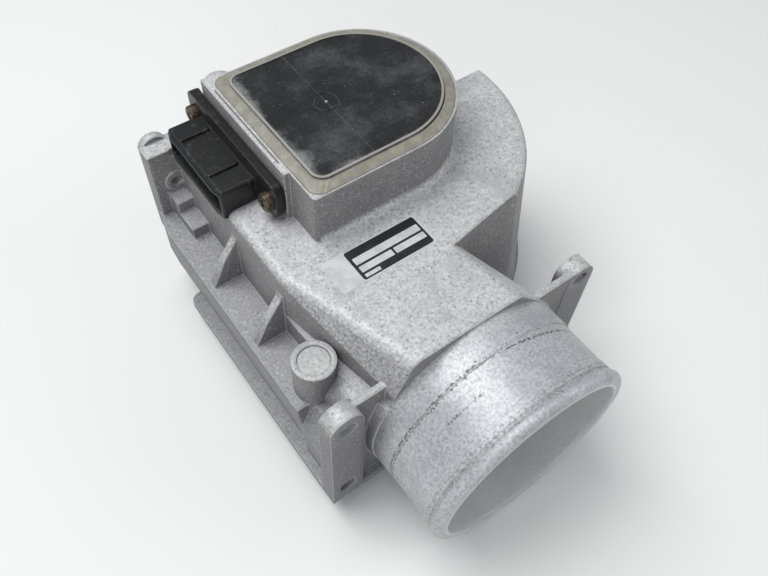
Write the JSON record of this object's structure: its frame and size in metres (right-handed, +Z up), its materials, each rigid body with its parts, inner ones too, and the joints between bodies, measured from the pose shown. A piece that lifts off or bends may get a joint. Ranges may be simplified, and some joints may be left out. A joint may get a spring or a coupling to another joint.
{
  "type": "mass airflow sensor",
  "caption": "Vane type intake airflow sensor: cast housing with hose spigot, side damping chamber, sealed electronics tower, side plug connector and bracket lugs.",
  "frame": {"origin": "centre of the outlet pipe's end face, on the pipe's axis", "axes": "+Y along the duct from the outlet pipe toward the inlet flange, +X toward the damping chamber, +Z up through the electronics cover, along the vane shaft"},
  "size_m": [0.1375, 0.1604, 0.1015],
  "materials": {
    "die_cast": "die cast, fine grain, slightly dulled",
    "machined_steel": "ground",
    "screw_zinc": "zinc plated",
    "screw_bronze": "yellow chromate, darkened by age",
    "cover_black": "moulded, semi matt",
    "plug_black": "moulded, glass filled",
    "sealant": "silicone, translucent",
    "rubber_black": "moulded",
    "gasket": "fibre gasket",
    "label_foil": "printed foil",
    "bearing_bronze": "sintered",
    "contact_brass": "stamped",
    "terminal_tin": "tinned brass",
    "ceramic_board": "ceramic board",
    "wheel_plastic": "moulded",
    "hub_plastic": "moulded",
    "spring_steel": "spring strip",
    "thermistor": "moulded holder"
  },
  "bodies": {
    "meter": {"housing": "die_cast", "bottom_cover": "die_cast", "cover_gasket": "gasket", "cover_screws": "screw_zinc", "electronics_cover": "cover_black", "cover_sealant": "sealant", "label_plate": "label_foil", "connector_housing": "plug_black", "connector_gasket": "rubber_black", "connector_screws": "screw_bronze", "connector_terminals": "terminal_tin", "resistor_board": "ceramic_board", "board_screws": "screw_zinc", "upper_bearing": "bearing_bronze", "lower_bearing": "bearing_bronze", "spring_wheel": "wheel_plastic", "wheel_lock_clip": "spring_steel", "return_spring": "spring_steel", "stop_sleeve": "rubber_black", "stop_bumper": "rubber_black", "switch_block": "hub_plastic", "switch_leaves": "contact_brass", "bypass_screw": "screw_zinc", "bypass_o_ring": "rubber_black", "bypass_plug": "machined_steel", "air_temperature_sensor": "thermistor", "sensor_grommet": "rubber_black"},
    "vane_rotor": {"vane": "die_cast", "vane_shaft": "machined_steel", "thrust_washers": "contact_brass", "wiper_hub": "hub_plastic", "wiper_arm": "contact_brass", "wiper_contact": "contact_brass", "counterweight": "machined_steel"}
  },
  "joints": [
    {"name": "vane_hinge", "type": "hinge", "parent": "meter", "child": "vane_rotor", "pos_m": [0.0164, 0.1198, 0], "axis": [0, 0, 1], "range_deg": [0, 52], "stiffness_Nm_per_rad": 0.02, "springref_deg": -34.38, "deforming": ["return_spring"]}
  ]
}
